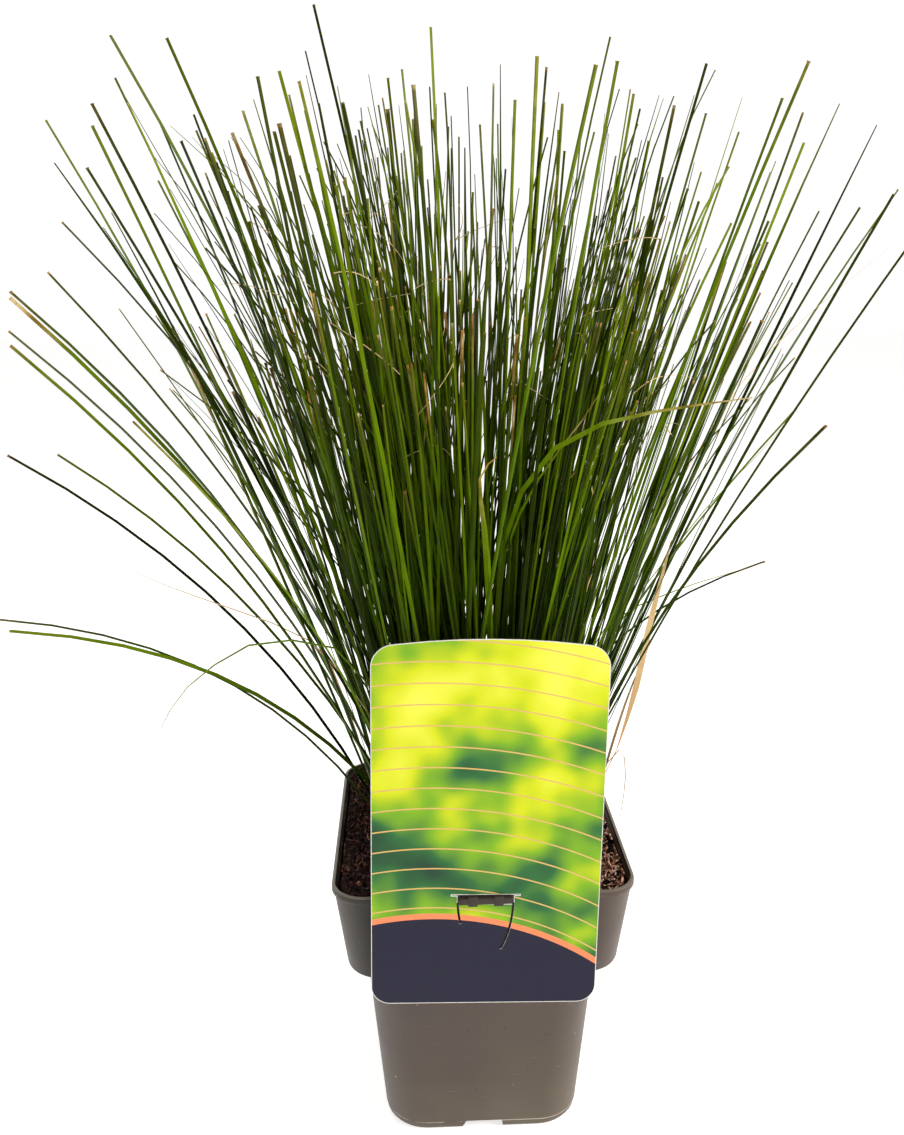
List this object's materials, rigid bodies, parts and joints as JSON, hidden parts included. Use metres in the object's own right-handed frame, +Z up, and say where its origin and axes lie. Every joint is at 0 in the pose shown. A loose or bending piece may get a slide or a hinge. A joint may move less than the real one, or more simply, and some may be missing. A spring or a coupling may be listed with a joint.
{
  "type": "potted sedge",
  "caption": "Arching clump of narrow green sedge leaves, many trimmed blunt, growing from soil in a square tapered nursery pot with a card label hung on its rim.",
  "frame": {"origin": "on the pot's axis, on the surface that the pot stands on, which is the middle of the bottom of the overall box to within 1 mm", "axes": "+Z up, -Y towards the front, where the label hangs, and +X to the right as seen from that front"},
  "size_m": [0.4103, 0.2607, 0.49],
  "materials": {
    "pot": "satin taupe moulded plastic",
    "soil": "rough, dark, fibrous compost",
    "label": "glossy printed card",
    "leaf": "olive green, slightly glossy, tan at cut tips",
    "dry_leaf": "matt tan, papery"
  },
  "bodies": {
    "root": {"pot": "pot", "soil": "soil", "label": "label", "shoot_01": "leaf", "shoot_02": "leaf", "shoot_03": "leaf", "shoot_04": "leaf", "shoot_05": "leaf", "shoot_06": "leaf", "shoot_07": "leaf", "shoot_08": "leaf", "shoot_09": "leaf", "shoot_10": "leaf", "shoot_11": "leaf", "shoot_12": "leaf", "shoot_13": "leaf", "shoot_14": "leaf", "shoot_15": "leaf", "shoot_16": "leaf", "shoot_17": "leaf", "shoot_18": "leaf", "shoot_19": "leaf", "shoot_20": "leaf", "shoot_21": "leaf", "shoot_22": "leaf", "shoot_23": "leaf", "shoot_24": "leaf", "shoot_25": "leaf", "shoot_26": "leaf", "shoot_27": "leaf", "shoot_28": "leaf", "shoot_29": "leaf", "shoot_30": "leaf", "shoot_31": "leaf", "shoot_32": "leaf", "shoot_33": "leaf", "shoot_34": "leaf", "shoot_35": "leaf", "shoot_36": "leaf", "shoot_37": "leaf", "shoot_38": "leaf", "shoot_39": "leaf", "shoot_40": "leaf", "shoot_41": "leaf", "shoot_42": "leaf", "shoot_43": "leaf", "shoot_44": "leaf", "dry_leaf_1": "dry_leaf", "dry_leaf_2": "dry_leaf", "dry_leaf_3": "dry_leaf", "dry_leaf_4": "dry_leaf"}
  },
  "joints": []
}
